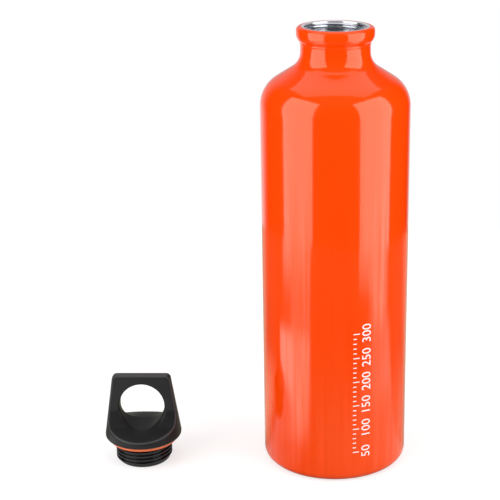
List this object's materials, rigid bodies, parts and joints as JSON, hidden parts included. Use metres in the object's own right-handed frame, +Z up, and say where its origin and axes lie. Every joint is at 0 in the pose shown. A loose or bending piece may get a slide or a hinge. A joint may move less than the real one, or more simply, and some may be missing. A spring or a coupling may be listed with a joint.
{
  "type": "camping fuel bottle",
  "caption": "Slim aluminium fuel bottle with a narrow threaded neck, and its screw cap with a round carry hole, taken off and standing beside it.",
  "frame": {"origin": "on the bottle's axis, in the plane of its foot ring, which is also the surface that the cap stands on", "axes": "+Z up along the bottle's axis, -Y the front that the picture shows, -X the side where the cap stands"},
  "size_m": [0.155, 0.073, 0.2235],
  "materials": {
    "orange_lacquer": "gloss orange lacquer outside, bare metal inside the neck",
    "black_moulding": "satin, fine moulded grain",
    "black_plug": "gloss",
    "orange_seal": "smooth silicone",
    "white_print": "thin screen-printed white ink of the fill scale on the bottle"
  },
  "bodies": {
    "bottle": {"bottle_shell": "orange_lacquer"},
    "seal": {"seal_ring": "orange_seal"},
    "cap": {"cap_grip": "black_moulding", "cap_plug": "black_plug"}
  },
  "joints": [
    {"name": "cap_lift", "type": "slide", "parent": "bottle", "child": "seal", "axis": [0, 0, 1], "range_m": [0, 0.25]},
    {"name": "cap_turn", "type": "hinge", "parent": "seal", "child": "cap", "pos_m": [-0.099, -0.008, 0], "axis": [0, 0, 1], "continuous": true}
  ]
}
